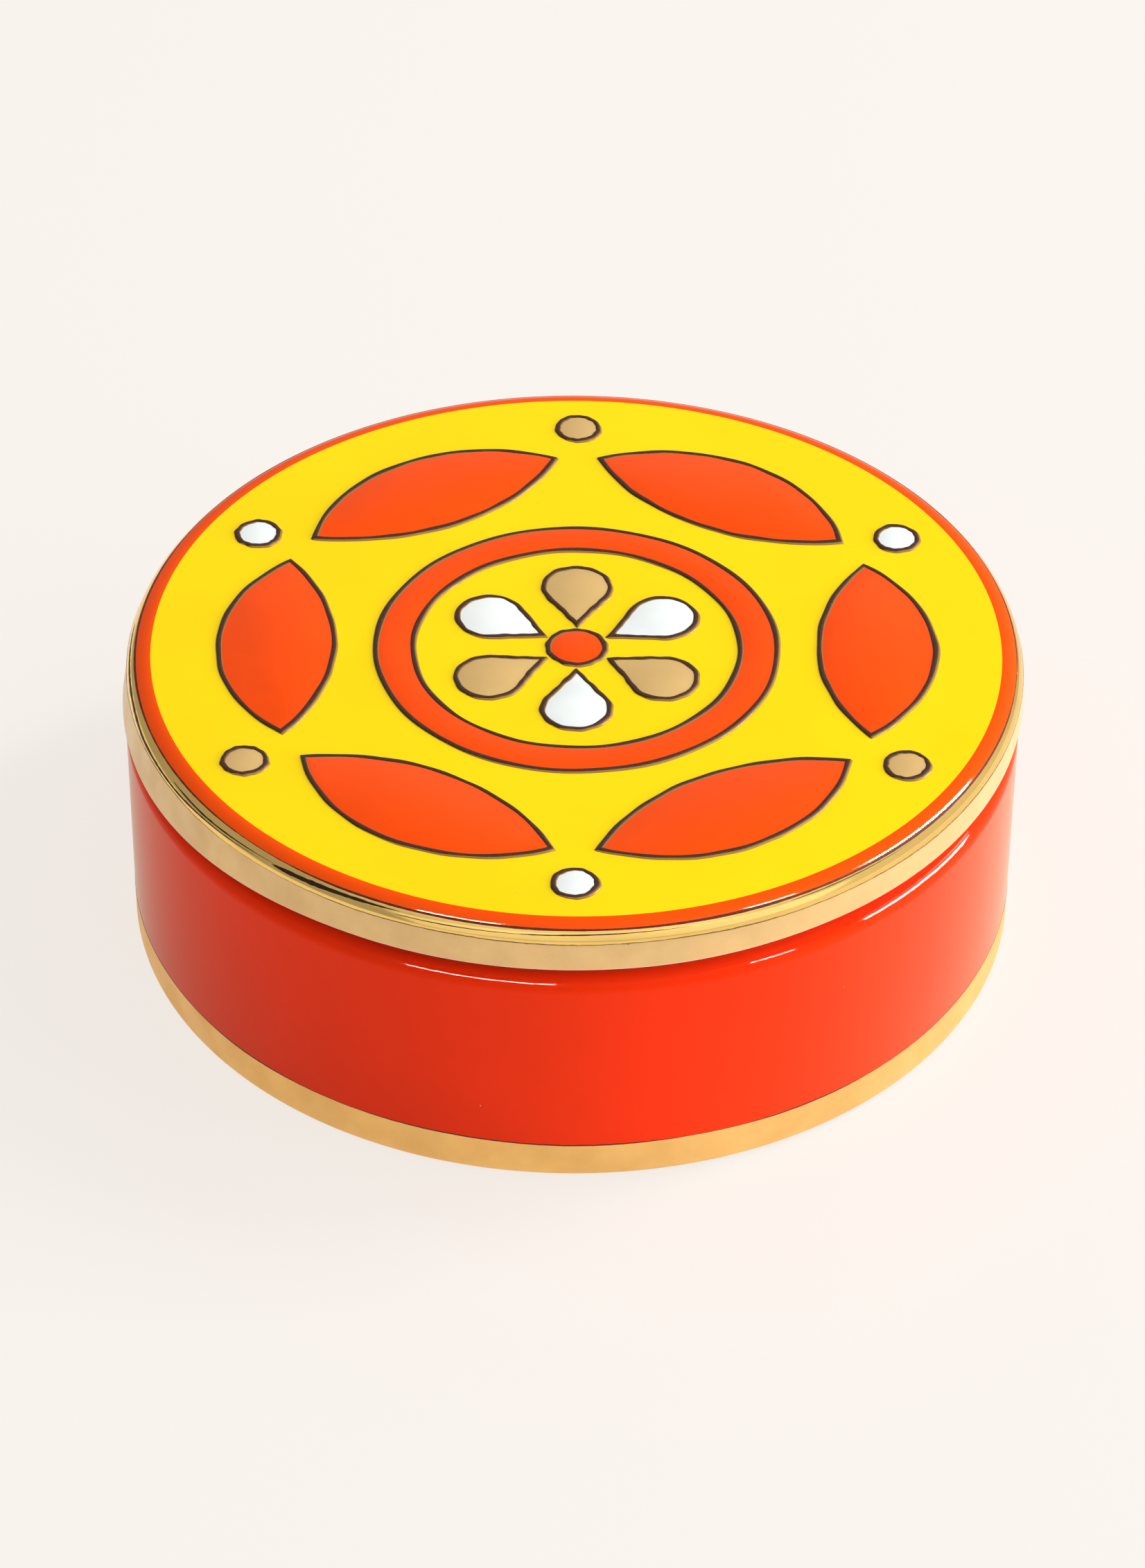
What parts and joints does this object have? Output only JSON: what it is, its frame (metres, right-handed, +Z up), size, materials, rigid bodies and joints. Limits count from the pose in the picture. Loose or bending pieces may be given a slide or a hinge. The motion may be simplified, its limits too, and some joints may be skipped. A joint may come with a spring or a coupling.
{
  "type": "round lidded box",
  "caption": "Low round porcelain keepsake box with a flat lift-off lid, gold bands at the lid's edge and foot, and an enamelled rosette and wreath on the lid.",
  "frame": {"origin": "middle of the foot's underside, on the surface the box stands on", "axes": "+Z up along the box's turning axis; +X to the right and -Y towards the viewer; the round box has no front of its own"},
  "size_m": [0.16, 0.16, 0.056],
  "materials": {
    "porcelain": "white porcelain, clear glazed inside, bare on the rim, seat and foot ring",
    "orange_glaze": "glossy orange glaze",
    "border_glaze": "glossy orange glaze round the lid's top",
    "yellow_glaze": "glossy yellow glaze",
    "orange_enamel": "glossy orange enamel",
    "white_enamel": "glossy white enamel",
    "tan_gold": "printed satin gold",
    "outline_enamel": "dark brown raised line",
    "gloss_gold": "gold lustre on glaze, glossy",
    "satin_gold": "gold lustre on bare porcelain, satin"
  },
  "bodies": {
    "base": {"base_body": "porcelain", "base_orange_glaze": "orange_glaze", "foot_gold_band": "satin_gold"},
    "lid": {"disc_1": "white_enamel", "disc_1_outline": "outline_enamel", "disc_2": "tan_gold", "disc_2_outline": "outline_enamel", "disc_3": "white_enamel", "disc_3_outline": "outline_enamel", "disc_4": "tan_gold", "disc_4_outline": "outline_enamel", "disc_5": "white_enamel", "disc_5_outline": "outline_enamel", "disc_6": "tan_gold", "disc_6_outline": "outline_enamel", "eye": "orange_enamel", "eye_outline": "outline_enamel", "halo": "orange_enamel", "halo_inner_outline": "outline_enamel", "halo_outer_outline": "outline_enamel", "leaf_1": "orange_enamel", "leaf_1_outline": "outline_enamel", "leaf_2": "orange_enamel", "leaf_2_outline": "outline_enamel", "leaf_3": "orange_enamel", "leaf_3_outline": "outline_enamel", "leaf_4": "orange_enamel", "leaf_4_outline": "outline_enamel", "leaf_5": "orange_enamel", "leaf_5_outline": "outline_enamel", "leaf_6": "orange_enamel", "leaf_6_outline": "outline_enamel", "lid_bare_gold_band": "satin_gold", "lid_body": "porcelain", "lid_glazed_gold_band": "gloss_gold", "lid_orange_border": "border_glaze", "lid_yellow_field": "yellow_glaze", "petal_1": "white_enamel", "petal_1_outline": "outline_enamel", "petal_2": "tan_gold", "petal_2_outline": "outline_enamel", "petal_3": "white_enamel", "petal_3_outline": "outline_enamel", "petal_4": "tan_gold", "petal_4_outline": "outline_enamel", "petal_5": "white_enamel", "petal_5_outline": "outline_enamel", "petal_6": "tan_gold", "petal_6_outline": "outline_enamel"}
  },
  "joints": [
    {"name": "lid_lift", "type": "slide", "parent": "base", "child": "lid", "axis": [0, 0, 1], "range_m": [0, 0.08]}
  ]
}
